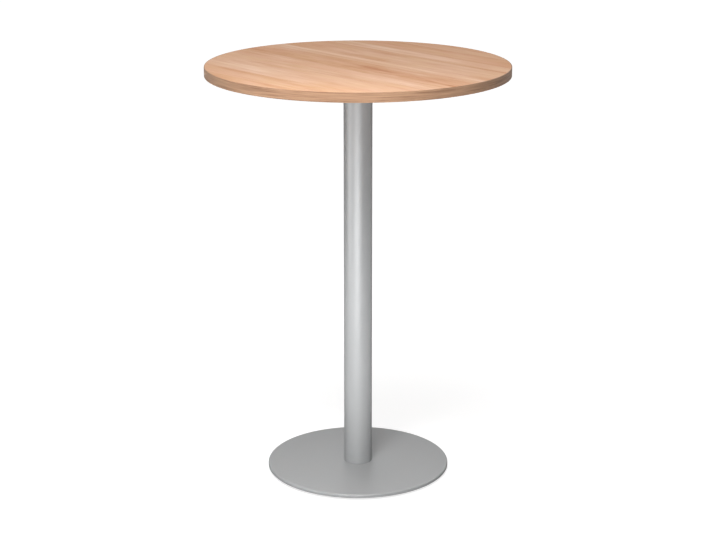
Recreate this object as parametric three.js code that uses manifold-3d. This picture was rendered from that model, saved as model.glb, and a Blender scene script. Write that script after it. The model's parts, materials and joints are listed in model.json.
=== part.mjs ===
// Standing meeting table: a round decor top on a steel column and a flat round base plate.
// Millimetres, +Z up. The origin is on the floor, under the middle of the column.

import * as THREE from "three";
import { mergeVertices } from "three/addons/utils/BufferGeometryUtils.js";
import Module from "manifold-3d";

// Tabletop: a faced chipboard disc with a plastic edge band glued round it
const tableHeight = 1120;
const topDiameter = 800;
const panelThickness = 25;
const edgeBandThickness = 2;
const edgeBandRounding = 1.5;
const glueLine = 0.1;

// Mounting plate between the tabletop and the column
const mountingPlateWidth = 240;
const mountingPlateThickness = 5;
const mountingPlateCorner = 20;

// Pan-head chipboard screws that hold the mounting plate under the panel
const screwEdgeDistance = 20;
const screwDiameter = 5;
const screwPointLength = 5;
const screwHeadDiameter = 10;
const screwHeadHeight = 3;
const screwHeadRounding = 2;
const screwRecessSpan = 5.2;
const screwRecessWidth = 1.3;
const screwRecessDepth = 1.8;
const screwCover = 10; // board left above the screw's point
const pilotHoleSpare = 1; // how much deeper the pilot hole is than the screw

// Column: a round tube with a disc welded into each end
const columnDiameter = 76.1;
const columnWall = 2;
const topDiscThickness = 8;
const footDiscThickness = 12;
const weldGap = 0.3;

// Countersunk bolts on one circle, from the mounting plate and from the base plate into the discs
const boltCount = 4;
const boltCircleDiameter = 44;
const boltHeadLand = 0.5; // straight rim of a countersunk head
const boltHeadRecess = 0.2; // how deep a head sits below the plate's face
const boltEndChamfer = 0.8;
const boltClearance = 0.3;

// Bolts through the mounting plate
const plateBoltDiameter = 8;
const plateBoltHeadDiameter = 16;
const plateBoltEngagement = 7; // length in the column's top disc
const plateBoltSocketWidth = 5;
const plateBoltSocketDepth = 3;

// Bolts through the base plate
const baseBoltDiameter = 10;
const baseBoltHeadDiameter = 20;
const baseBoltEngagement = 10; // length in the column's foot disc
const baseBoltSocketWidth = 6;
const baseBoltSocketDepth = 3.6;

// Base plate
const baseDiameter = 495;
const baseThickness = 10;
const baseRimRounding = 4;
const baseLowerChamfer = 1;

// Levelling glides: a pad on the floor that holds the head of a threaded stud
const glideCount = 4;
const glideCircleDiameter = 430;
const padDiameter = 30;
const padHubDiameter = 18;
const padRimHeight = 2.4;
const padLowerChamfer = 0.8;
const padFloor = 1.2; // plastic below the stud's head
const padLip = 1.2; // plastic above the stud's head
const studDiameter = 8;
const studHeadDiameter = 12;
const studHeadThickness = 1;
const studTipChamfer = 0.8;
const studTipGap = 0.5;
const collarWidth = 13; // across the flats
const collarHeight = 2.5;
const threadCover = 1.5; // plate left above the blind hole of a glide
const swivelGap = 0.3;

// Faces that bear on each other, with a film of paint between them
const seatGap = 0.2;

// Facets of a full turn, and half the facets of a rounding's quarter turn
const topFacets = 96;
const columnFacets = 64;
const padFacets = 24;
const fastenerFacets = 16;
const edgeSteps = 1;
const rimSteps = 2;

// Heights above the floor that the pieces share
const padHeight = padFloor + swivelGap + studHeadThickness + swivelGap + padLip;
const collarUnderside = padHeight + swivelGap;
const baseUnderside = collarUnderside + collarHeight + seatGap;
const baseUpperFace = baseUnderside + baseThickness;
const columnFoot = baseUpperFace + seatGap;
const panelUnderside = tableHeight - panelThickness;
const plateUpperFace = panelUnderside - seatGap;
const plateUnderside = plateUpperFace - mountingPlateThickness;
const columnTop = plateUnderside - seatGap;

const columnBore = columnDiameter - 2 * columnWall;
const quarterTurn = Math.PI / 2;
const overrun = 1; // how far a cutter passes the face that it cuts

const finishes = {
  decor: { color: 0xd8ae91, roughness: 0.45, metalness: 0 },
  edge: { color: 0xcd9f80, roughness: 0.4, metalness: 0 },
  silver: { color: 0xbfc0bf, roughness: 0.4, metalness: 0.6 },
  zinc: { color: 0xc9ccce, roughness: 0.35, metalness: 1 },
  steel: { color: 0x8e9092, roughness: 0.5, metalness: 1 },
  plastic: { color: 0x2b2c2d, roughness: 0.6, metalness: 0 },
};

const plateBolt = {
  diameter: plateBoltDiameter,
  headDiameter: plateBoltHeadDiameter,
  length: mountingPlateThickness + plateBoltEngagement,
  holeLength: mountingPlateThickness + seatGap + topDiscThickness + overrun,
  socketWidth: plateBoltSocketWidth,
  socketDepth: plateBoltSocketDepth,
};

const baseBolt = {
  diameter: baseBoltDiameter,
  headDiameter: baseBoltHeadDiameter,
  length: baseThickness + baseBoltEngagement,
  holeLength: baseThickness + seatGap + footDiscThickness + overrun,
  socketWidth: baseBoltSocketWidth,
  socketDepth: baseBoltSocketDepth,
};

const wasm = await Module();
wasm.setup();

// The closed solid of a three.js geometry, for cutting and joining.
function toSolid(geometry) {
  geometry.deleteAttribute("normal");
  geometry.deleteAttribute("uv");
  const merged = mergeVertices(geometry);
  const corners = merged.index.array;
  const kept = [];
  for (let i = 0; i < corners.length; i += 3) {
    const [a, b, c] = corners.slice(i, i + 3);
    if (a !== b && b !== c && c !== a) kept.push(a, b, c);
  }
  const mesh = new wasm.Mesh({
    numProp: 3,
    vertProperties: merged.attributes.position.array,
    triVerts: new Uint32Array(kept),
  });
  return new wasm.Manifold(mesh);
}

// The three.js geometry of a solid.
function toGeometry(solid) {
  const { vertProperties, triVerts } = solid.getMesh();
  const geometry = new THREE.BufferGeometry();
  geometry.setAttribute("position", new THREE.BufferAttribute(vertProperties, 3));
  geometry.setIndex(new THREE.BufferAttribute(triVerts, 1));
  geometry.computeVertexNormals();
  return geometry;
}

// A solid turned about Z from a profile of radius and height, drawn upwards along its outside.
function revolve(profile, facets, steps = edgeSteps) {
  const lathe = new THREE.LatheGeometry(profile.getPoints(steps), facets);
  return toSolid(lathe.rotateX(quarterTurn));
}

// A round bar from one height to another, to cut a hole with.
function bar(diameter, low, high, facets) {
  const profile = new THREE.Path()
    .moveTo(0, low)
    .lineTo(diameter / 2, low)
    .lineTo(diameter / 2, high)
    .lineTo(0, high);
  return revolve(profile, facets);
}

// A hexagonal bar, measured across its flats.
function hexagonBar(width, low, high) {
  const radius = width / Math.sqrt(3);
  const prism = new THREE.CylinderGeometry(radius, radius, high - low, 6);
  prism.rotateX(quarterTurn).translate(0, 0, (low + high) / 2);
  return toSolid(prism);
}

// Evenly spaced places on a circle, the first one between +X and +Y.
function circlePlaces(diameter, count) {
  return Array.from({ length: count }, (_, i) => {
    const angle = ((i + 0.5) / count) * 2 * Math.PI;
    return [(diameter / 2) * Math.cos(angle), (diameter / 2) * Math.sin(angle)];
  });
}

// Cuts a copy of the cutter from a solid at each place.
function cutAt(solid, places, cutter, height = 0) {
  return places.reduce((left, [x, y]) => left.subtract(cutter.translate([x, y, height])), solid);
}

const boltPlaces = circlePlaces(boltCircleDiameter, boltCount);
const glidePlaces = circlePlaces(glideCircleDiameter, glideCount);
const screwReach = mountingPlateWidth / 2 - screwEdgeDistance;
const screwSteps = [-screwReach, 0, screwReach];
const screwPlaces = screwSteps
  .flatMap((x) => screwSteps.map((y) => [x, y]))
  .filter(([x, y]) => x !== 0 || y !== 0);

// Tabletop panel, from its underside, with the pilot holes of the screws.
function tabletopPanel() {
  const board = bar(topDiameter - 2 * (edgeBandThickness + glueLine), 0, panelThickness, topFacets);
  const depth = panelThickness - screwCover + pilotHoleSpare;
  const pilot = bar(screwDiameter + 2 * boltClearance, -overrun, depth, fastenerFacets);
  return cutAt(board, screwPlaces, pilot);
}

// Edge band, from its underside, with both outer edges rounded.
function edgeBand() {
  const outer = topDiameter / 2;
  const inner = outer - edgeBandThickness;
  const rounding = Math.min(edgeBandRounding, edgeBandThickness);
  const profile = new THREE.Path()
    .moveTo(inner, 0)
    .lineTo(outer - rounding, 0)
    .absarc(outer - rounding, rounding, rounding, -quarterTurn, 0)
    .absarc(outer - rounding, panelThickness - rounding, rounding, 0, quarterTurn)
    .lineTo(inner, panelThickness)
    .lineTo(inner, 0);
  return revolve(profile, topFacets);
}

// The side of a countersunk bolt that points up, from its head's rim to its shank, or of its hole.
function countersunkSide(bolt, low, gap) {
  const shank = bolt.diameter / 2 + gap;
  const head = bolt.headDiameter / 2 + gap;
  return new THREE.Path()
    .moveTo(0, low)
    .lineTo(head, low)
    .lineTo(head, boltHeadLand)
    .lineTo(shank, boltHeadLand + head - shank);
}

// A countersunk bolt that points up, with a hexagon socket in its head.
function countersunkBolt(bolt) {
  const shank = bolt.diameter / 2;
  const profile = countersunkSide(bolt, 0, 0)
    .lineTo(shank, bolt.length - boltEndChamfer)
    .lineTo(shank - boltEndChamfer, bolt.length)
    .lineTo(0, bolt.length);
  const socket = hexagonBar(bolt.socketWidth, -overrun, bolt.socketDepth);
  return revolve(profile, fastenerFacets).subtract(socket);
}

// The hole of a countersunk bolt, through the plate under its head and the disc behind it.
function countersunkHole(bolt) {
  const profile = countersunkSide(bolt, -boltHeadRecess - overrun, boltClearance)
    .lineTo(bolt.diameter / 2 + boltClearance, bolt.holeLength)
    .lineTo(0, bolt.holeLength);
  return revolve(profile, fastenerFacets);
}

// Mounting plate, from its underside, with plain screw holes and countersunk bolt holes.
function mountingPlate() {
  const half = mountingPlateWidth / 2;
  const straight = half - mountingPlateCorner;
  const outline = new THREE.Shape();
  [[1, 1], [-1, 1], [-1, -1], [1, -1]].forEach(([x, y], i) => {
    const start = i * quarterTurn;
    outline.absarc(x * straight, y * straight, mountingPlateCorner, start, start + quarterTurn);
  });
  outline.closePath();
  const plate = new THREE.ExtrudeGeometry(outline, {
    depth: mountingPlateThickness,
    bevelEnabled: false,
    curveSegments: rimSteps,
  });
  const screwHole = bar(
    screwDiameter + 2 * boltClearance,
    -overrun,
    mountingPlateThickness + overrun,
    fastenerFacets,
  );
  const drilled = cutAt(toSolid(plate), screwPlaces, screwHole);
  const hole = countersunkHole(plateBolt).rotate([180, 0, 0]);
  return cutAt(drilled, boltPlaces, hole, mountingPlateThickness - boltHeadRecess);
}

// A pan-head screw that points up from the plate's underside, with a cross recess in its head.
function topScrew() {
  const shank = screwDiameter / 2;
  const head = screwHeadDiameter / 2;
  const length = mountingPlateThickness + seatGap + panelThickness - screwCover;
  const rounding = Math.min(screwHeadRounding, screwHeadHeight);
  const profile = new THREE.Path()
    .moveTo(0, -screwHeadHeight)
    .lineTo(head - rounding, -screwHeadHeight)
    .absarc(head - rounding, rounding - screwHeadHeight, rounding, -quarterTurn, 0)
    .lineTo(head, 0)
    .lineTo(shank, 0)
    .lineTo(shank, length - screwPointLength)
    .lineTo(0, length);
  const slots = [[screwRecessSpan, screwRecessWidth], [screwRecessWidth, screwRecessSpan]];
  return slots.reduce((screw, [x, y]) => {
    const slot = new THREE.BoxGeometry(x, y, 2 * screwRecessDepth);
    return screw.subtract(toSolid(slot.translate(0, 0, -screwHeadHeight)));
  }, revolve(profile, fastenerFacets));
}

// Column tube, from its foot.
function columnTube() {
  const length = columnTop - columnFoot;
  const profile = new THREE.Path()
    .moveTo(columnBore / 2, 0)
    .lineTo(columnDiameter / 2, 0)
    .lineTo(columnDiameter / 2, length)
    .lineTo(columnBore / 2, length)
    .lineTo(columnBore / 2, 0);
  return revolve(profile, columnFacets);
}

function columnTopDisc() {
  const disc = bar(columnBore - 2 * weldGap, -topDiscThickness, 0, columnFacets);
  const hole = countersunkHole(plateBolt).rotate([180, 0, 0]);
  return cutAt(disc, boltPlaces, hole, plateUpperFace - boltHeadRecess - columnTop);
}

function columnFootDisc() {
  const disc = bar(columnBore - 2 * weldGap, 0, footDiscThickness, columnFacets);
  return cutAt(disc, boltPlaces, countersunkHole(baseBolt), baseUnderside + boltHeadRecess - columnFoot);
}

// Base plate, from its underside, with a rounded upper rim and the blind holes of the glides.
function basePlate() {
  const rim = baseDiameter / 2;
  const profile = new THREE.Path()
    .moveTo(0, 0)
    .lineTo(rim - baseLowerChamfer, 0)
    .lineTo(rim, baseLowerChamfer)
    .absarc(rim - baseRimRounding, baseThickness - baseRimRounding, baseRimRounding, 0, quarterTurn)
    .lineTo(0, baseThickness);
  const disc = revolve(profile, topFacets, rimSteps);
  const bored = cutAt(disc, boltPlaces, countersunkHole(baseBolt), boltHeadRecess);
  const threadDepth = baseThickness - threadCover;
  const threadHole = bar(studDiameter + 2 * boltClearance, -overrun, threadDepth, fastenerFacets);
  return cutAt(bored, glidePlaces, threadHole);
}

// Glide pad, from the floor: a low cone with a pocket that captures the stud's head.
function glidePad() {
  const rim = padDiameter / 2;
  const neck = studDiameter / 2 + swivelGap;
  const pocket = studHeadDiameter / 2 + swivelGap;
  const profile = new THREE.Path()
    .moveTo(0, 0)
    .lineTo(rim - padLowerChamfer, 0)
    .lineTo(rim, padLowerChamfer)
    .lineTo(rim, padRimHeight)
    .lineTo(padHubDiameter / 2, padHeight)
    .lineTo(neck, padHeight)
    .lineTo(neck, padHeight - padLip)
    .lineTo(pocket, padHeight - padLip)
    .lineTo(pocket, padFloor)
    .lineTo(0, padFloor);
  return revolve(profile, padFacets);
}

// Glide stud, from the floor: a flat head, a hexagon collar for the spanner and a threaded shank.
function glideStud() {
  const shank = studDiameter / 2;
  const head = studHeadDiameter / 2;
  const headUnderside = padFloor + swivelGap;
  const tip = baseUpperFace - threadCover - studTipGap;
  const profile = new THREE.Path()
    .moveTo(0, headUnderside)
    .lineTo(head, headUnderside)
    .lineTo(head, headUnderside + studHeadThickness)
    .lineTo(shank, headUnderside + studHeadThickness)
    .lineTo(shank, tip - studTipChamfer)
    .lineTo(shank - studTipChamfer, tip)
    .lineTo(0, tip);
  const collar = hexagonBar(collarWidth, collarUnderside, collarUnderside + collarHeight);
  return revolve(profile, fastenerFacets).add(collar);
}

// A group at a height above the floor, inside the table.
function level(height) {
  const group = new THREE.Group();
  group.position.z = height;
  table.add(group);
  return group;
}

// A named piece in a group, with its own material.
function addPiece(group, name, solid, finish, [x, y] = [0, 0]) {
  const mesh = new THREE.Mesh(toGeometry(solid), new THREE.MeshStandardMaterial(finish));
  mesh.name = name;
  mesh.position.set(x, y, 0);
  group.add(mesh);
  return mesh;
}

// Copies of a piece at each place, numbered from 1.
function addCopies(group, name, solid, finish, places) {
  return places.map((place, i) => addPiece(group, `${name}_${i + 1}`, solid, finish, place));
}

const table = new THREE.Group();

const top = level(panelUnderside);
addPiece(top, "tabletop_panel", tabletopPanel(), finishes.decor);
addPiece(top, "edge_band", edgeBand(), finishes.edge);

const plate = level(plateUnderside);
addPiece(plate, "mounting_plate", mountingPlate(), finishes.silver);

const screws = level(plateUnderside - seatGap);
addCopies(screws, "top_screw", topScrew(), finishes.zinc, screwPlaces);

const plateBolts = level(plateUpperFace - boltHeadRecess);
addCopies(plateBolts, "plate_bolt", countersunkBolt(plateBolt), finishes.zinc, boltPlaces)
  .forEach((bolt) => bolt.rotateX(Math.PI));

const columnHead = level(columnTop);
addPiece(columnHead, "column_top_disc", columnTopDisc(), finishes.steel);

const column = level(columnFoot);
addPiece(column, "column_tube", columnTube(), finishes.silver);
addPiece(column, "column_foot_disc", columnFootDisc(), finishes.steel);

const base = level(baseUnderside);
addPiece(base, "base_plate", basePlate(), finishes.silver);

const baseBolts = level(baseUnderside + boltHeadRecess);
addCopies(baseBolts, "base_bolt", countersunkBolt(baseBolt), finishes.zinc, boltPlaces);

const glides = level(0);
addCopies(glides, "glide_pad", glidePad(), finishes.plastic, glidePlaces);
addCopies(glides, "glide_stud", glideStud(), finishes.zinc, glidePlaces);

export default table;
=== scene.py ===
# Standing meeting table: a round wood-decor top on a silver column and a flat round base with levelling glides.
# Metres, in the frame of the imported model.

import json
import math

import bmesh
import bpy
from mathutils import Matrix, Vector


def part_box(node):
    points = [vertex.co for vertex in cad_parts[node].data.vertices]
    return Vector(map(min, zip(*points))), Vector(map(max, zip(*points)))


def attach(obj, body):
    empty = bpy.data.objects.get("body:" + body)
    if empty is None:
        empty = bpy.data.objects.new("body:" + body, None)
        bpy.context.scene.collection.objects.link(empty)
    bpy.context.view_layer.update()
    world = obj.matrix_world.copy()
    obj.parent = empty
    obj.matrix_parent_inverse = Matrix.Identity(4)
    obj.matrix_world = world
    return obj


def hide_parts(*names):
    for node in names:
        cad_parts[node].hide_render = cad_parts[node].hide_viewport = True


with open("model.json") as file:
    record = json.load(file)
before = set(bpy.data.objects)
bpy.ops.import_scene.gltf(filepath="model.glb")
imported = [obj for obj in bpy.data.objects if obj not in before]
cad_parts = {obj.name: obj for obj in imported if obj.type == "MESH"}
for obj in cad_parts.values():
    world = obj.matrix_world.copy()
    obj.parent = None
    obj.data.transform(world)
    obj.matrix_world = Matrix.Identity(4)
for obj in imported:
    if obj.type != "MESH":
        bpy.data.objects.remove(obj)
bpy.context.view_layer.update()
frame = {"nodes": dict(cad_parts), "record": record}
record = frame["record"]
bodyOf = {node: body for body, nodes in record["behaviour"]["bodies"].items() for node in nodes}
slotOf = {part["node"]: part["material_slot"] for part in record["subparts"]}
scene = bpy.context.scene
scene.view_settings.view_transform = "Standard"
mm = 0.001
near = 0.1 * mm  # how close a place counts as the same
print("frame loaded:", len(frame["nodes"]), "nodes")

# Camera at the photograph's viewing angle
photoView = {"place": (0.0, -4.595, 1.904), "tilt": 16.27, "lens": 89.54}
bpy.ops.object.select_all(action="DESELECT")
upright = math.radians(90 - photoView["tilt"])
bpy.ops.object.camera_add(location=photoView["place"], rotation=(upright, 0, 0))
scene.camera = bpy.context.object
scene.camera.data.lens = photoView["lens"]
print("camera placed")


# Materials

def colour(text):
    shares = [int(text[i:i + 2], 16) / 255 for i in (1, 3, 5)]
    return [s / 12.92 if s <= 0.04045 else ((s + 0.055) / 1.055) ** 2.4 for s in shares] + [1.0]


def add(tree, kind, inputs, stops=(), **settings):
    made = tree.nodes.new(kind)
    for name, value in settings.items():
        setattr(made, name, value)
    for name, value in inputs.items():
        if isinstance(value, bpy.types.NodeSocket):
            tree.links.new(value, made.inputs[name])
        else:
            made.inputs[name].default_value = value
    for place, shade in stops:
        stop = made.color_ramp.elements.new(place)
        stop.color = shade
    if stops:  # the two stops that a new ramp brings along
        made.color_ramp.elements.remove(made.color_ramp.elements[0])
        made.color_ramp.elements.remove(made.color_ramp.elements[-1])
    return made


def startMaterial(name):
    material = bpy.data.materials.new(name)
    material.use_nodes = True
    material.node_tree.nodes.clear()
    return material, material.node_tree


def grey(share):
    return [share, share, share, 1.0]


# Melamine-faced chipboard, printed as planks of a pale reddish wood and pressed matt:
# planks a little lighter or darker than the next, streaks and fine fibres along the grain, and short dark pores
decor = {
    "turn": 48,  # degrees that lay the grain along X
    "deep": "#c27b4d",
    "dark": "#dca47d",
    "middle": "#e6b491",
    "pale": "#eec1a2",
    "light": "#fad3b8",
    "blush": "#eaa87e",  # warmer clouds between the planks' own shades
    "straw": "#e8bc88",  # yellower patches
    "joint": 3,  # mm over which one plank turns into the next
    "band": (320, 60),  # mm along and across the grain
    "streak": (180, 18),
    "fibre": (60, 1.8),  # drawn coarser than the print so that it shows
    "pore": (26, 1.6),
    "heart": (150, 9),  # darker streaks that come and go
    "cloud": (700, 160),
    "tint": (140, 50),
    "roughness": 0.54,
    "gleam": 0.3,  # specular level
}
# Planks across the grain: mm from the middle to the far edge, and how light the plank is
planks = [(-352, 0.40), (-285, 0.44), (-165, 0.60), (-120, 0.55), (-74, 0.64), (32, 0.44), (54, 0.58), (72, 0.84),
          (184, 0.52), (198, 0.36), (246, 0.74), (330, 0.43), (400, 0.50)]


# Noise that is drawn out along the grain, with its size in mm
def grainNoise(tree, grain, size, detail):
    along, across = size
    drawn = add(tree, "ShaderNodeMapping", {"Vector": grain, "Scale": (1000 / along, 1000 / across, 20)})
    return add(tree, "ShaderNodeTexNoise", {"Vector": drawn.outputs[0], "Scale": 1.0, "Detail": detail,
                                            "Roughness": 0.6}).outputs[0]


def makeDecorBoard():
    material, tree = startMaterial("melamineWoodDecor")
    place = add(tree, "ShaderNodeTexCoord", {})
    turned = add(tree, "ShaderNodeMapping", {"Vector": place.outputs["Object"],
                                             "Rotation": (0, 0, math.radians(decor["turn"]))})
    drift = add(tree, "ShaderNodeTexNoise", {"Vector": turned.outputs[0], "Scale": 2.4, "Detail": 1})
    wander = add(tree, "ShaderNodeVectorMath", {0: drift.outputs["Color"], 1: (0.5, 0.5, 0.5)}, operation="SUBTRACT")
    sway = add(tree, "ShaderNodeVectorMath", {0: wander.outputs[0], 1: (0.0, 0.022, 0.0), 2: turned.outputs[0]},
               operation="MULTIPLY_ADD")
    axes = add(tree, "ShaderNodeSeparateXYZ", {0: turned.outputs[0]})
    across = add(tree, "ShaderNodeMapRange", {"Value": axes.outputs[1], "From Min": -0.4, "From Max": 0.4})
    stops = []
    start = -400
    for end, tone in planks:
        stops += [((b + 400) / 800, grey(tone)) for b in (start + decor["joint"] / 2, end - decor["joint"] / 2)]
        start = end
    plank = add(tree, "ShaderNodeValToRGB", {0: across.outputs[0]}, stops=stops)
    cut = add(tree, "ShaderNodeVectorMath", {0: plank.outputs[0], 1: (23.0, 7.0, 0.0), 2: sway.outputs[0]},
              operation="MULTIPLY_ADD")  # each plank comes from another place in the log
    grain = cut.outputs[0]
    fibres = grainNoise(tree, grain, decor["fibre"], 3)
    tone = plank.outputs[0]
    for layer, share in ((grainNoise(tree, grain, decor["band"], 3), 1.35),
                         (grainNoise(tree, grain, decor["streak"], 3), 0.55), (fibres, 0.45)):
        swing = add(tree, "ShaderNodeMath", {0: layer, 1: share, 2: -share / 2}, operation="MULTIPLY_ADD")
        tone = add(tree, "ShaderNodeMath", {0: tone, 1: swing.outputs[0]}, operation="ADD").outputs[0]
    pores = add(tree, "ShaderNodeMapRange", {"Value": grainNoise(tree, grain, decor["pore"], 1), "From Min": 0.68,
                                             "From Max": 0.80, "To Max": 0.35})
    tone = add(tree, "ShaderNodeMath", {0: tone, 1: pores.outputs[0]}, operation="SUBTRACT").outputs[0]
    heart = add(tree, "ShaderNodeMapRange", {"Value": grainNoise(tree, grain, decor["heart"], 2), "From Min": 0.56,
                                             "From Max": 0.74, "To Max": 0.22})
    tone = add(tree, "ShaderNodeMath", {0: tone, 1: heart.outputs[0]}, operation="SUBTRACT").outputs[0]
    tones = [(0.02, "deep"), (0.3, "dark"), (0.5, "middle"), (0.7, "pale"), (0.95, "light")]
    printed = add(tree, "ShaderNodeValToRGB", {0: tone}, stops=[(at, colour(decor[name])) for at, name in tones])
    warmth = add(tree, "ShaderNodeMapRange", {"Value": grainNoise(tree, grain, decor["cloud"], 1), "From Min": 0.4,
                                              "From Max": 0.75, "To Max": 0.25})
    blushed = add(tree, "ShaderNodeMix", {"Factor": warmth.outputs[0], 6: printed.outputs[0],
                                          7: colour(decor["blush"])}, data_type="RGBA")
    yellow = add(tree, "ShaderNodeMapRange", {"Value": grainNoise(tree, grain, decor["tint"], 1), "From Min": 0.4,
                                              "From Max": 0.7, "To Max": 0.3})
    shade = add(tree, "ShaderNodeMix", {"Factor": yellow.outputs[0], 6: blushed.outputs[2],
                                        7: colour(decor["straw"])}, data_type="RGBA")
    gloss = add(tree, "ShaderNodeMapRange", {"Value": fibres, "To Min": decor["roughness"] - 0.05,
                                             "To Max": decor["roughness"] + 0.07})
    relief = add(tree, "ShaderNodeBump", {"Height": fibres, "Strength": 0.06, "Distance": 0.3 * mm})
    surface = add(tree, "ShaderNodeBsdfPrincipled", {"Base Color": shade.outputs[2], "Roughness": gloss.outputs[0],
                                                     "IOR": 1.5, "Specular IOR Level": decor["gleam"],
                                                     "Normal": relief.outputs[0]})
    add(tree, "ShaderNodeOutputMaterial", {"Surface": surface.outputs[0]})
    return material


# ABS edge band, extruded and printed with the same wood: the grain runs round the rim and meets at the back,
# a little darker than the top
edge = {"deep": "#825b40", "middle": "#b18a6d", "light": "#c79f7e", "roughness": 0.45, "streak": (170, 4.5),
        "fibre": (50, 1.4)}  # mm along and across the rim


def makeDecorEdge():
    material, tree = startMaterial("absWoodEdgeBand")
    place = add(tree, "ShaderNodeTexCoord", {})
    turned = add(tree, "ShaderNodeMapping", {"Vector": place.outputs["Object"], "Rotation": (0, 0, math.pi)})
    axes = add(tree, "ShaderNodeSeparateXYZ", {0: turned.outputs[0]})
    turn = add(tree, "ShaderNodeMath", {0: axes.outputs[0], 1: axes.outputs[1]}, operation="ARCTAN2")
    along = add(tree, "ShaderNodeMath", {0: turn.outputs[0], 1: 0.4}, operation="MULTIPLY")
    grain = add(tree, "ShaderNodeCombineXYZ", {0: along.outputs[0], 1: axes.outputs[2]}).outputs[0]
    fibres = grainNoise(tree, grain, edge["fibre"], 2)
    tone = add(tree, "ShaderNodeMath", {0: fibres, 1: 0.35, 2: -0.175}, operation="MULTIPLY_ADD")
    tone = add(tree, "ShaderNodeMath", {0: tone.outputs[0], 1: grainNoise(tree, grain, edge["streak"], 3)},
               operation="ADD")
    shade = add(tree, "ShaderNodeValToRGB", {0: tone.outputs[0]}, stops=[
        (0.22, colour(edge["deep"])), (0.5, colour(edge["middle"])), (0.78, colour(edge["light"]))])
    relief = add(tree, "ShaderNodeBump", {"Height": fibres, "Strength": 0.05, "Distance": 0.2 * mm})
    surface = add(tree, "ShaderNodeBsdfPrincipled", {"Base Color": shade.outputs[0], "Roughness": edge["roughness"],
                                                     "IOR": 1.52, "Normal": relief.outputs[0]})
    add(tree, "ShaderNodeOutputMaterial", {"Surface": surface.outputs[0]})
    return material


# Silver powder coat on steel, sprayed and baked: satin, with aluminium flakes and a faint orange peel
silver = {"shade": "#adafb0", "flakeShade": "#b6b7b8", "metallic": 0.5, "roughness": 0.36, "gleam": 0.2,
          "edgeTint": 0.2,
          "flakeSize": 0.9, "peelSize": 2.4}  # mm, flakes drawn coarser than the real 0.05 so that they show


def makeSilverCoat():
    material, tree = startMaterial("silverPowderCoat")
    place = add(tree, "ShaderNodeTexCoord", {})
    flakes = add(tree, "ShaderNodeTexNoise", {"Vector": place.outputs["Object"], "Scale": 1000 / silver["flakeSize"],
                                              "Detail": 2, "Roughness": 0.6})
    shade = add(tree, "ShaderNodeValToRGB", {0: flakes.outputs[0]}, stops=[
        (0.35, colour(silver["shade"])), (0.7, colour(silver["flakeShade"]))])
    gloss = add(tree, "ShaderNodeMapRange", {"Value": flakes.outputs[0], "To Min": silver["roughness"] - 0.06,
                                             "To Max": silver["roughness"] + 0.06})
    peel = add(tree, "ShaderNodeTexNoise", {"Vector": place.outputs["Object"], "Scale": 1000 / silver["peelSize"],
                                            "Detail": 1})
    relief = add(tree, "ShaderNodeBump", {"Height": peel.outputs[0], "Strength": 0.04, "Distance": 0.2 * mm})
    surface = add(tree, "ShaderNodeBsdfPrincipled", {"Base Color": shade.outputs[0], "Roughness": gloss.outputs[0],
                                                     "Metallic": silver["metallic"],
                                                     "Specular IOR Level": silver["gleam"],
                                                     "Specular Tint": grey(silver["edgeTint"]),
                                                     "Normal": relief.outputs[0]})
    add(tree, "ShaderNodeOutputMaterial", {"Surface": surface.outputs[0]})
    return material


# Zinc-plated steel, passivated: bright bluish metal with a cloudy spangle
zinc = {"shade": "#c4c9ce", "cloud": "#b3b6b4", "roughness": 0.3, "cloudSize": 3}  # mm


def makeZincPlate():
    material, tree = startMaterial("zincPlatedSteel")
    place = add(tree, "ShaderNodeTexCoord", {})
    clouds = add(tree, "ShaderNodeTexNoise", {"Vector": place.outputs["Object"], "Scale": 1000 / zinc["cloudSize"],
                                              "Detail": 4})
    shade = add(tree, "ShaderNodeValToRGB", {0: clouds.outputs[0]}, stops=[
        (0.35, colour(zinc["cloud"])), (0.65, colour(zinc["shade"]))])
    gloss = add(tree, "ShaderNodeMapRange", {"Value": clouds.outputs[0], "To Min": zinc["roughness"] - 0.08,
                                             "To Max": zinc["roughness"] + 0.1})
    surface = add(tree, "ShaderNodeBsdfPrincipled", {"Base Color": shade.outputs[0], "Roughness": gloss.outputs[0],
                                                     "Metallic": 1.0})
    add(tree, "ShaderNodeOutputMaterial", {"Surface": surface.outputs[0]})
    return material


# Plain mild steel, sawn and left bare: dull grey metal with a fine turned grain
steel = {"shade": "#8b8d8f", "dark": "#77797b", "roughness": 0.5, "grainSize": 0.8}  # mm


def makeBareSteel():
    material, tree = startMaterial("mildSteel")
    place = add(tree, "ShaderNodeTexCoord", {})
    grain = add(tree, "ShaderNodeTexNoise", {"Vector": place.outputs["Object"], "Scale": 1000 / steel["grainSize"],
                                             "Detail": 3})
    shade = add(tree, "ShaderNodeValToRGB", {0: grain.outputs[0]}, stops=[
        (0.3, colour(steel["dark"])), (0.7, colour(steel["shade"]))])
    surface = add(tree, "ShaderNodeBsdfPrincipled", {"Base Color": shade.outputs[0], "Roughness": steel["roughness"],
                                                     "Metallic": 1.0})
    add(tree, "ShaderNodeOutputMaterial", {"Surface": surface.outputs[0]})
    return material


# Black polyamide, injection moulded in an eroded tool: dull, with a fine pebbled skin
plastic = {"shade": "#1f2021", "worn": "#2b2c2d", "roughness": 0.55, "pebble": 0.5}  # mm


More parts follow.
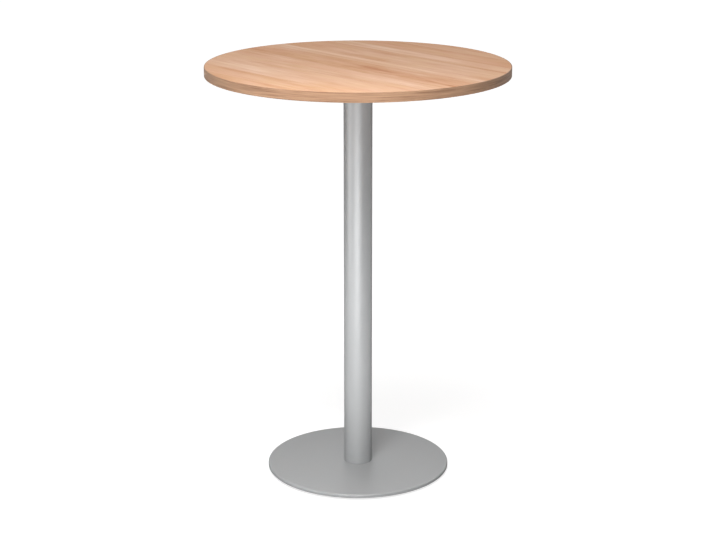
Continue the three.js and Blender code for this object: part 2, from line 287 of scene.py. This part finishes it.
def makeGlidePlastic():
    material, tree = startMaterial("blackPolyamide")
    place = add(tree, "ShaderNodeTexCoord", {})
    skin = add(tree, "ShaderNodeTexNoise", {"Vector": place.outputs["Object"], "Scale": 1000 / plastic["pebble"],
                                            "Detail": 2})
    shade = add(tree, "ShaderNodeValToRGB", {0: skin.outputs[0]}, stops=[
        (0.3, colour(plastic["shade"])), (0.75, colour(plastic["worn"]))])
    relief = add(tree, "ShaderNodeBump", {"Height": skin.outputs[0], "Strength": 0.15, "Distance": 0.1 * mm})
    surface = add(tree, "ShaderNodeBsdfPrincipled", {"Base Color": shade.outputs[0], "Roughness": plastic["roughness"],
                                                     "IOR": 1.53, "Normal": relief.outputs[0]})
    add(tree, "ShaderNodeOutputMaterial", {"Surface": surface.outputs[0]})
    return material


finishes = {
    "decor_board": makeDecorBoard(),
    "decor_edge": makeDecorEdge(),
    "silver_coat": makeSilverCoat(),
    "zinc_plate": makeZincPlate(),
    "bare_steel": makeBareSteel(),
    "glide_plastic": makeGlidePlastic(),
}
print("materials made:", len(finishes))


# Modelling by hand

def activate(piece):
    bpy.ops.object.select_all(action="DESELECT")
    bpy.context.view_layer.objects.active = piece
    piece.select_set(True)


def start(name, primitive, **shape):
    bpy.ops.object.select_all(action="DESELECT")
    primitive(**shape)
    piece = bpy.context.object
    piece.name = name
    piece.data.name = name
    bpy.ops.object.transform_apply(location=True, rotation=True, scale=True)
    return piece


def startRound(name, radius, low, high, sides, at=(0, 0)):
    return start(name, bpy.ops.mesh.primitive_cylinder_add, vertices=sides, radius=radius, depth=high - low,
                 location=(at[0], at[1], (low + high) / 2))


# Into edit mode, with only the faces or edges selected whose place passes the test
def pickFaces(piece, wanted):
    if piece.mode != "EDIT":
        activate(piece)
        bpy.ops.object.mode_set(mode="EDIT")
    bpy.ops.mesh.select_mode(type="FACE")
    bpy.ops.mesh.select_all(action="DESELECT")
    mesh = bmesh.from_edit_mesh(piece.data)
    for face in mesh.faces:
        face.select_set(wanted(face.calc_center_median(), face.normal))
    bmesh.update_edit_mesh(piece.data)


def pickEdges(piece, wanted):
    if piece.mode != "EDIT":
        activate(piece)
        bpy.ops.object.mode_set(mode="EDIT")
    bpy.ops.mesh.select_mode(type="EDGE")
    bpy.ops.mesh.select_all(action="DESELECT")
    mesh = bmesh.from_edit_mesh(piece.data)
    for line in mesh.edges:
        line.select_set(wanted((line.verts[0].co + line.verts[1].co) / 2))
    bmesh.update_edit_mesh(piece.data)


def stopEditing():
    bpy.ops.object.mode_set(mode="OBJECT")


def roundRing(piece, radius, height, size, steps):
    pickEdges(piece, lambda middle: abs(middle.z - height) < near and abs(middle.xy.length - radius) < near)
    bpy.ops.mesh.bevel(offset=size, offset_type="OFFSET", segments=steps, affect="EDGES")
    stopEditing()


# Extrudes the end face on the axis at a height to another height, and narrows or widens it there
def carryOn(piece, height, newHeight, scale=1.0):
    pickFaces(piece, lambda middle, normal: middle.xy.length < near and abs(middle.z - height) < near)
    bpy.ops.mesh.extrude_region_move(TRANSFORM_OT_translate={"value": (0, 0, newHeight - height)})
    bpy.ops.transform.resize(value=(scale, scale, 1), center_override=(0, 0, newHeight))
    stopEditing()


def openEnds(piece, wall, bore):
    pickFaces(piece, lambda middle, normal: abs(normal.z) > 0.99)
    bpy.ops.mesh.inset(thickness=wall, use_individual=True)
    bpy.ops.mesh.delete(type="FACE")
    pickEdges(piece, lambda middle: abs(middle.xy.length - bore) < near)
    bpy.ops.mesh.bridge_edge_loops()
    stopEditing()


def shape(piece, tool, operation):
    change = piece.modifiers.new("shape", "BOOLEAN")
    change.object = tool
    change.operation = operation
    change.solver = "EXACT"
    activate(piece)
    bpy.ops.object.modifier_apply(modifier="shape")
    activate(tool)
    bpy.ops.object.delete()


def drill(piece, places, radius, low, high, sides=32):
    for place in places:
        shape(piece, startRound("drill", radius, low, high, sides, place), "DIFFERENCE")


def copyTo(piece, name, place):
    activate(piece)
    bpy.ops.object.duplicate()
    twin = bpy.context.object
    twin.name = name
    twin.data.name = name
    bpy.ops.transform.translate(value=(place[0], place[1], 0))
    bpy.ops.object.transform_apply(location=True)
    return twin


def finishPiece(piece, node, angle=30):
    activate(piece)
    bpy.ops.object.mode_set(mode="EDIT")
    bpy.ops.mesh.select_all(action="SELECT")
    bpy.ops.mesh.remove_doubles(threshold=0.001 * mm)
    bpy.ops.mesh.normals_make_consistent(inside=False)
    stopEditing()
    bpy.ops.object.shade_smooth_by_angle(angle=math.radians(angle))
    even = piece.modifiers.new("even", "WEIGHTED_NORMAL")
    even.keep_sharp = True
    bpy.ops.object.modifier_apply(modifier="even")
    piece.data.materials.clear()
    piece.data.materials.append(finishes[slotOf[node]])
    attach(piece, bodyOf[node])
    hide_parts(node)


# A right-hand thread that points up: a diamond loses its inner point, is screwed up the shank and turned to size
def makeThread(size, low, high):
    pitch = size["pitch"]
    thread = start("thread", bpy.ops.mesh.primitive_circle_add, vertices=4, radius=1, rotation=(math.pi / 2, 0, 0))
    bpy.ops.object.mode_set(mode="EDIT")
    bpy.ops.mesh.select_mode(type="VERT")
    bpy.ops.mesh.select_all(action="DESELECT")
    points = bmesh.from_edit_mesh(thread.data)
    for point in points.verts:
        point.select_set(point.co.x < -0.5)
    bmesh.update_edit_mesh(thread.data)
    bpy.ops.mesh.delete(type="VERT")
    bpy.ops.mesh.select_all(action="SELECT")
    bpy.ops.transform.resize(value=(size["sharpCrest"] - size["root"], 1, pitch / 2), center_override=(0, 0, 0))
    bpy.ops.transform.translate(value=(size["root"], 0, low - 2 * pitch))
    stopEditing()
    winding = thread.modifiers.new("winding", "SCREW")
    winding.screw_offset = pitch
    winding.iterations = math.ceil((high - low) / pitch) + 4
    winding.steps = 40
    winding.render_steps = 40
    winding.use_merge_vertices = True
    winding.merge_threshold = 0.001 * mm
    bpy.ops.object.modifier_apply(modifier="winding")
    bpy.ops.object.mode_set(mode="EDIT")
    bpy.ops.mesh.select_all(action="SELECT")
    bpy.ops.mesh.remove_doubles(threshold=0.001 * mm)  # joins each turn to the next
    for height, above in ((low - 0.23 * mm, False), (high + 0.23 * mm, True)):
        bpy.ops.mesh.select_all(action="SELECT")
        bpy.ops.mesh.bisect(plane_co=(0, 0, height), plane_no=(0, 0, 1), use_fill=True, clear_outer=above,
                            clear_inner=not above)
    bpy.ops.mesh.select_all(action="SELECT")
    bpy.ops.mesh.normals_make_consistent(inside=False)
    stopEditing()
    blank = startRound("blank", size["radius"], low, high - size["tip"], 64)
    carryOn(blank, high - size["tip"], high, size["tipScale"])
    shape(thread, blank, "INTERSECT")
    return thread


# A countersunk bolt that points up, with a hexagon socket in its head
def makeBolt(name, size, low, high):
    sunk = startRound(name, size["headRadius"], low, low + size["land"], 48)
    neck = low + size["land"] + size["headRadius"] - size["radius"]
    carryOn(sunk, low + size["land"], neck, size["radius"] / size["headRadius"])
    roundRing(sunk, size["headRadius"], low, 0.2 * mm, 2)
    shape(sunk, makeThread(size, neck - 0.3 * mm, high), "UNION")
    key = startRound("key", size["socketWidth"] / math.sqrt(3), low - mm, low + size["socketDepth"], 6)
    shape(sunk, key, "DIFFERENCE")
    return sunk


def middleOf(node):
    low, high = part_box(node)
    return ((low.x + high.x) / 2, (low.y + high.y) / 2)


screwPlaces = [middleOf(f"top_screw_{n}") for n in range(1, 9)]
boltPlaces = [middleOf(f"base_bolt_{n}") for n in range(1, 5)]
glidePlaces = [middleOf(f"glide_pad_{n}") for n in range(1, 5)]

# Tabletop panel, with the pilot holes of its screws
panel = {"sides": 256, "arris": 0.2 * mm, "pilotRadius": 2.8 * mm}
panelLow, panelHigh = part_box("tabletop_panel")
screwLow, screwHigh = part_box("top_screw_1")
tabletop = startRound("tabletopPanel", panelHigh.x, panelLow.z, panelHigh.z, panel["sides"])
roundRing(tabletop, panelHigh.x, panelLow.z, panel["arris"], 1)
roundRing(tabletop, panelHigh.x, panelHigh.z, panel["arris"], 1)
drill(tabletop, screwPlaces, panel["pilotRadius"], panelLow.z - mm, screwHigh.z + mm)
finishPiece(tabletop, "tabletop_panel")

# Edge band glued round it, both outer edges rounded
band = {"sides": 256, "thickness": 2 * mm, "rounding": 1.5 * mm, "steps": 5}
bandLow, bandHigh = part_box("edge_band")
rim = startRound("edgeBand", bandHigh.x, bandLow.z, bandHigh.z, band["sides"])
openEnds(rim, band["thickness"], bandHigh.x - band["thickness"])
roundRing(rim, bandHigh.x, bandLow.z, band["rounding"], band["steps"])
roundRing(rim, bandHigh.x, bandHigh.z, band["rounding"], band["steps"])
finishPiece(rim, "edge_band")
print("top made")

# Mounting plate, punched, with rounded corners
plate = {"corner": 20 * mm, "cornerSteps": 12, "arris": 0.5 * mm, "screwHole": 2.8 * mm, "boltHole": 4.3 * mm,
         "sink": 8.3 * mm, "sinkDepth": 0.7 * mm}
plateLow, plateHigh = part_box("mounting_plate")
size = plateHigh - plateLow
mounting = start("mountingPlate", bpy.ops.mesh.primitive_cube_add, size=1, scale=size,
                 location=(plateLow + plateHigh) / 2)
pickEdges(mounting, lambda middle: abs(middle.x) > size.x / 2 - near and abs(middle.y) > size.y / 2 - near)
bpy.ops.mesh.bevel(offset=plate["corner"], segments=plate["cornerSteps"], affect="EDGES")
pickFaces(mounting, lambda middle, normal: abs(normal.z) > 0.99)
bpy.ops.mesh.bevel(offset=plate["arris"], segments=2, affect="EDGES")
stopEditing()
drill(mounting, screwPlaces, plate["screwHole"], plateLow.z - mm, plateHigh.z + mm)
sinkLow = plateHigh.z - plate["sinkDepth"]
sinkNeck = sinkLow - plate["sink"] + plate["boltHole"]
countersink = startRound("countersink", plate["sink"], sinkLow, plateHigh.z + mm, 48)
carryOn(countersink, sinkLow, sinkNeck, plate["boltHole"] / plate["sink"])
carryOn(countersink, sinkNeck, plateLow.z - mm)
for place in boltPlaces:
    shape(mounting, copyTo(countersink, "hole", place), "DIFFERENCE")
bpy.data.objects.remove(countersink)
finishPiece(mounting, "mounting_plate")

# Pan-head screws under it, with a cross recess and a coarse thread down to the point
screw = {"sides": 32, "headRadius": 5 * mm, "headHeight": 3 * mm, "rounding": 2 * mm, "radius": 2.5 * mm,
         "pitch": 2.2 * mm, "root": 1.6 * mm, "sharpCrest": 2.7 * mm, "tip": 5 * mm, "tipScale": 0.08,
         "recessSpan": 5.2 * mm, "recessWidth": 1.2 * mm, "recessDepth": 1.8 * mm}
seat = screwLow.z + screw["headHeight"]
pan = startRound("topScrew", screw["headRadius"], screwLow.z, seat, screw["sides"])
roundRing(pan, screw["headRadius"], screwLow.z, screw["rounding"], 6)
shape(pan, makeThread(screw, seat - 0.3 * mm, screwHigh.z), "UNION")
for wide, deep in ((screw["recessSpan"], screw["recessWidth"]), (screw["recessWidth"], screw["recessSpan"])):
    bit = start("bit", bpy.ops.mesh.primitive_cube_add, size=1, location=(0, 0, screwLow.z),
                scale=(wide, deep, 2 * screw["recessDepth"]))
    pickFaces(bit, lambda middle, normal: normal.z > 0.99)
    bpy.ops.transform.resize(value=(0.55, 0.55, 1))  # the recess narrows inwards
    stopEditing()
    shape(pan, bit, "DIFFERENCE")
for n, place in enumerate(screwPlaces, 1):
    finishPiece(copyTo(pan, f"topScrew{n}", place), f"top_screw_{n}")
bpy.data.objects.remove(pan)

# Countersunk M8 bolts from above, turned over to point down into the column
plateBolt = {"headRadius": 8 * mm, "land": 0.5 * mm, "socketWidth": 5 * mm, "socketDepth": 3 * mm, "radius": 4 * mm,
             "pitch": 1.25 * mm, "root": 3.25 * mm, "sharpCrest": 4.3 * mm, "tip": 0.8 * mm, "tipScale": 0.8}
boltLow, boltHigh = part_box("plate_bolt_1")
sunk = makeBolt("plateBolt", plateBolt, boltLow.z, boltHigh.z)
activate(sunk)
bpy.ops.transform.rotate(value=math.pi, orient_axis="X", center_override=(0, 0, (boltLow.z + boltHigh.z) / 2))
bpy.ops.object.transform_apply(location=True, rotation=True)
for n, place in enumerate(boltPlaces, 1):
    finishPiece(copyTo(sunk, f"plateBolt{n}", place), f"plate_bolt_{n}")
bpy.data.objects.remove(sunk)
print("mounting plate, screws and bolts made")

# Column tube
column = {"sides": 128, "wall": 2 * mm, "arris": 0.3 * mm}
tubeLow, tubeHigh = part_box("column_tube")
tube = startRound("columnTube", tubeHigh.x, tubeLow.z, tubeHigh.z, column["sides"])
openEnds(tube, column["wall"], tubeHigh.x - column["wall"])
roundRing(tube, tubeHigh.x, tubeLow.z, column["arris"], 2)
roundRing(tube, tubeHigh.x, tubeHigh.z, column["arris"], 2)
finishPiece(tube, "column_tube")

# Discs welded into its ends, drilled for the bolts
weldedDisc = {"arris": 0.5 * mm, "holes": {"column_top_disc": 4.3 * mm, "column_foot_disc": 5.3 * mm}}
for name, node in (("columnTopDisc", "column_top_disc"), ("columnFootDisc", "column_foot_disc")):
    discLow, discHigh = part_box(node)
    plug = startRound(name, discHigh.x, discLow.z, discHigh.z, column["sides"])
    roundRing(plug, discHigh.x, discLow.z, weldedDisc["arris"], 1)
    roundRing(plug, discHigh.x, discHigh.z, weldedDisc["arris"], 1)
    drill(plug, boltPlaces, weldedDisc["holes"][node], discLow.z - mm, discHigh.z + mm)
    finishPiece(plug, node)

# Base plate, with a rounded upper rim, countersunk bolt holes and blind holes for the glides
base = {"sides": 256, "rounding": 4 * mm, "steps": 8, "chamfer": 1 * mm, "boltHole": 5.3 * mm, "sink": 10.3 * mm,
        "sinkDepth": 0.7 * mm, "glideHole": 4.3 * mm, "cover": 1.5 * mm}
baseLow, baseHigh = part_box("base_plate")
disc = startRound("basePlate", baseHigh.x, baseLow.z, baseHigh.z, base["sides"])
roundRing(disc, baseHigh.x, baseHigh.z, base["rounding"], base["steps"])
roundRing(disc, baseHigh.x, baseLow.z, base["chamfer"], 1)
sinkHigh = baseLow.z + base["sinkDepth"]
sinkNeck = sinkHigh + base["sink"] - base["boltHole"]
countersink = startRound("countersink", base["sink"], baseLow.z - mm, sinkHigh, 48)
carryOn(countersink, sinkHigh, sinkNeck, base["boltHole"] / base["sink"])
carryOn(countersink, sinkNeck, baseHigh.z + mm)
for place in boltPlaces:
    shape(disc, copyTo(countersink, "hole", place), "DIFFERENCE")
bpy.data.objects.remove(countersink)
drill(disc, glidePlaces, base["glideHole"], baseLow.z - mm, baseHigh.z - base["cover"])
finishPiece(disc, "base_plate")
print("column and base plate made")

# Countersunk M10 bolts from below
baseBolt = {"headRadius": 10 * mm, "land": 0.5 * mm, "socketWidth": 6 * mm, "socketDepth": 3.6 * mm, "radius": 5 * mm,
            "pitch": 1.5 * mm, "root": 4.08 * mm, "sharpCrest": 5.36 * mm, "tip": 0.8 * mm, "tipScale": 0.84}
boltLow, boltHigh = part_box("base_bolt_1")
sunk = makeBolt("baseBolt", baseBolt, boltLow.z, boltHigh.z)
for n, place in enumerate(boltPlaces, 1):
    finishPiece(copyTo(sunk, f"baseBolt{n}", place), f"base_bolt_{n}")
bpy.data.objects.remove(sunk)

# Glide pads: a low cone with the pocket of the stud's head
pad = {"sides": 64, "hubRadius": 9 * mm, "rimHeight": 2.4 * mm, "chamfer": 0.8 * mm, "neck": 4.3 * mm,
       "pocket": 6.3 * mm, "lip": 1.2 * mm, "floor": 1.2 * mm, "softening": 0.4 * mm}
padLow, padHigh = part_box("glide_pad_1")
padRadius = (padHigh.x - padLow.x) / 2
pocketHigh = padHigh.z - pad["lip"]
foot = startRound("glidePad", padRadius, padLow.z, pad["rimHeight"], pad["sides"])
carryOn(foot, pad["rimHeight"], padHigh.z, pad["hubRadius"] / padRadius)
carryOn(foot, padHigh.z, padHigh.z, pad["neck"] / pad["hubRadius"])
carryOn(foot, padHigh.z, pocketHigh)
carryOn(foot, pocketHigh, pocketHigh, pad["pocket"] / pad["neck"])
carryOn(foot, pocketHigh, pad["floor"])
roundRing(foot, padRadius, padLow.z, pad["chamfer"], 1)
roundRing(foot, padRadius, pad["rimHeight"], pad["softening"], 3)
roundRing(foot, pad["hubRadius"], padHigh.z, pad["softening"], 3)
for n, place in enumerate(glidePlaces, 1):
    finishPiece(copyTo(foot, f"glidePad{n}", place), f"glide_pad_{n}")
bpy.data.objects.remove(foot)

# Glide studs: a captured head below, a hexagon collar for the spanner and a right-hand M8 thread above it
stud = {"collarWidth": 13 * mm, "collarLow": 4.3 * mm, "collarHeight": 2.5 * mm, "collarSlope": 0.55 * mm,
        "slopeStart": 6.3 * mm, "slopeEnd": 7.7 * mm, "radius": 4 * mm, "pitch": 1.25 * mm, "root": 3.25 * mm,
        "sharpCrest": 4.3 * mm, "tip": 0.8 * mm, "tipScale": 0.8, "headRadius": 6 * mm, "headHeight": 1 * mm}
studLow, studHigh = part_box("glide_stud_1")
collarLow = stud["collarLow"]
collarHigh = collarLow + stud["collarHeight"]
headHigh = studLow.z + stud["headHeight"]

collar = startRound("glideStud", stud["collarWidth"] / math.sqrt(3), collarLow, collarHigh, 6)
slopes = startRound("slopes", stud["slopeEnd"], collarLow + stud["collarSlope"], collarHigh - stud["collarSlope"], 64)
carryOn(slopes, collarHigh - stud["collarSlope"], collarHigh, stud["slopeStart"] / stud["slopeEnd"])
carryOn(slopes, collarLow + stud["collarSlope"], collarLow, stud["slopeStart"] / stud["slopeEnd"])
shape(collar, slopes, "INTERSECT")

shape(collar, makeThread(stud, collarLow + 1.2 * mm, studHigh.z), "UNION")

head = startRound("head", stud["headRadius"], studLow.z, headHigh, 64)
carryOn(head, headHigh, headHigh, stud["radius"] / stud["headRadius"])
carryOn(head, headHigh, collarLow + 0.5 * mm)
roundRing(head, stud["headRadius"], headHigh, 0.2 * mm, 2)
shape(collar, head, "UNION")
for n, place in enumerate(glidePlaces, 1):
    finishPiece(copyTo(collar, f"glideStud{n}", place), f"glide_stud_{n}")
bpy.data.objects.remove(collar)
print("glides made")

# Floor and light
studio = {"ambient": 0.15, "floorShade": 0.8, "floorSeen": 0.3, "reach": (0.3, 1.2), "glow": (0.8, 1.0),
          "mirrorReach": (0.26, 0.7), "mirrorGlow": (0.1, 0.82), "skyMirrored": (0.3, 0.7),
          "underReach": (0.2, 0.24), "underGlow": 0.5, "farReach": (3.0, 5.4), "farShare": 0.4,
          "closeReach": (0.4, 1.0), "closeShade": 0.3, "skyTurn": (-0.6, 0.3)}
lamps = {
    "keyLamp": {"place": (-0.5, -2.0, 3.2), "aim": (0, 0, 0.7), "size": (1.4, 1.0), "power": 80, "mirrored": False},
    "frontLamp": {"place": (-0.28, -2.0, 0.27), "aim": (0, 0, 0.5), "size": (3.6, 0.54), "power": 4.8, "spread": 80},
    "leftLamp": {"place": (-2.3, -0.95, 0.3), "aim": (0, 0, 0.5), "size": (2.2, 0.6), "power": 1.4, "spread": 60},
    "backLamp": {"place": (-1.1, 2.4, 0.5), "aim": (0, 0, 0.5), "size": (1.6, 0.6), "power": 6, "spread": 60,
                 "mirrored": False},
    "baseLamp": {"place": (-0.3, -1.7, 2.6), "aim": (-0.15, -1.05, 0), "size": (0.8, 0.8), "power": 11, "spread": 56, "mirrored": False},
}
bpy.ops.object.select_all(action="DESELECT")
bpy.ops.mesh.primitive_circle_add(vertices=96, radius=40, fill_type="NGON")
floor = bpy.context.object
floor.name = "studioFloor"


# Camera and transmission rays see the background itself, reflections see it a little dimmer
def raysThatSee(tree, straight, mirrored):
    ray = add(tree, "ShaderNodeLightPath", {})
    direct = add(tree, "ShaderNodeMath", {0: ray.outputs["Is Camera Ray"], 1: ray.outputs["Is Transmission Ray"]},
                 operation="MAXIMUM")
    shown = add(tree, "ShaderNodeMath", {0: direct.outputs[0], 1: straight}, operation="MULTIPLY")
    return add(tree, "ShaderNodeMath", {0: ray.outputs["Is Glossy Ray"], 1: mirrored, 2: shown.outputs[0]},
               operation="MULTIPLY_ADD").outputs[0]


# Pale paper that glows to white away from the table, keeps its shadow and is clear from below
floorFinish, tree = startMaterial("studioPaper")
place = add(tree, "ShaderNodeTexCoord", {})
away = add(tree, "ShaderNodeVectorMath", {0: place.outputs["Object"]}, operation="LENGTH")
glows = []
# Reflections see the paper dark close to the base plate: painted shade round the plate that darkens its rim
for reach, level in (("reach", "glow"), ("mirrorReach", "mirrorGlow")):
    fade = add(tree, "ShaderNodeMapRange", {"Value": away.outputs["Value"], "From Min": studio[reach][0],
                                            "From Max": studio[reach][1], "To Min": studio[level][0],
                                            "To Max": studio[level][1]}, interpolation_type="SMOOTHSTEP")
    glows.append(fade.outputs[0])
# Far off, reflections see the paper dimmer: painted shade on the upper column, under the tabletop
far = add(tree, "ShaderNodeMapRange", {"Value": away.outputs["Value"], "From Min": studio["farReach"][0],
                                       "From Max": studio["farReach"][1], "To Min": 1.0,
                                       "To Max": studio["farShare"]}, interpolation_type="SMOOTHSTEP")
glows[1] = add(tree, "ShaderNodeMath", {0: glows[1], 1: far.outputs[0]}, operation="MULTIPLY").outputs[0]
under = add(tree, "ShaderNodeMapRange", {"Value": away.outputs["Value"], "From Min": studio["underReach"][0],
                                         "From Max": studio["underReach"][1], "To Min": studio["underGlow"],
                                         "To Max": 0.0})  # lights the underside, out of sight from above
shine = add(tree, "ShaderNodeMath", {0: raysThatSee(tree, *glows), 1: under.outputs[0]}, operation="MAXIMUM").outputs[0]
# Close to the table the paper that lights it is darker: painted shade that dims the light bounced onto the base plate
close = add(tree, "ShaderNodeMapRange", {"Value": away.outputs["Value"], "From Min": studio["closeReach"][0],
                                         "From Max": studio["closeReach"][1], "To Min": studio["closeShade"],
                                         "To Max": studio["floorShade"]})
shade = add(tree, "ShaderNodeMapRange", {"Value": raysThatSee(tree, 1.0, 1.0), "To Min": close.outputs[0],
                                         "To Max": studio["floorSeen"]})
paper = add(tree, "ShaderNodeBsdfDiffuse", {"Color": shade.outputs[0]})
lit = add(tree, "ShaderNodeEmission", {"Strength": shine})
front = add(tree, "ShaderNodeAddShader", {0: paper.outputs[0], 1: lit.outputs[0]})
side = add(tree, "ShaderNodeNewGeometry", {})
clear = add(tree, "ShaderNodeBsdfTransparent", {})
both = add(tree, "ShaderNodeMixShader", {0: side.outputs["Backfacing"], 1: front.outputs[0], 2: clear.outputs[0]})
add(tree, "ShaderNodeOutputMaterial", {"Surface": both.outputs[0]})
floor.data.materials.append(floorFinish)

world = bpy.data.worlds.new("studioWorld")
scene.world = world
world.use_nodes = True
tree = world.node_tree
tree.nodes.clear()
towards = add(tree, "ShaderNodeSeparateXYZ", {0: add(tree, "ShaderNodeTexCoord", {}).outputs["Generated"]})
mirrored = add(tree, "ShaderNodeMapRange", {"Value": towards.outputs[1], "From Min": studio["skyTurn"][0],
                                            "From Max": studio["skyTurn"][1], "To Min": studio["skyMirrored"][0],
                                            "To Max": studio["skyMirrored"][1]})
level = add(tree, "ShaderNodeMapRange", {"Value": raysThatSee(tree, 1.0, mirrored.outputs[0]),
                                         "To Min": studio["ambient"], "To Max": 1.0})
sky = add(tree, "ShaderNodeBackground", {"Color": grey(1.0), "Strength": level.outputs[0]})
add(tree, "ShaderNodeOutputWorld", {"Surface": sky.outputs[0]})

for name, lamp in lamps.items():
    bpy.ops.object.light_add(type="AREA", location=lamp["place"])
    light = bpy.context.object
    light.name = name
    light.data.shape = "RECTANGLE"
    light.data.size, light.data.size_y = lamp["size"]
    light.data.energy = lamp["power"]
    light.data.spread = math.radians(lamp.get("spread", 180))
    light.visible_camera = False
    light.visible_glossy = lamp.get("mirrored", True)
    towards = Vector(lamp["aim"]) - Vector(lamp["place"])
    light.rotation_euler = towards.to_track_quat("-Z", "Y").to_euler()
print("floor and light set")
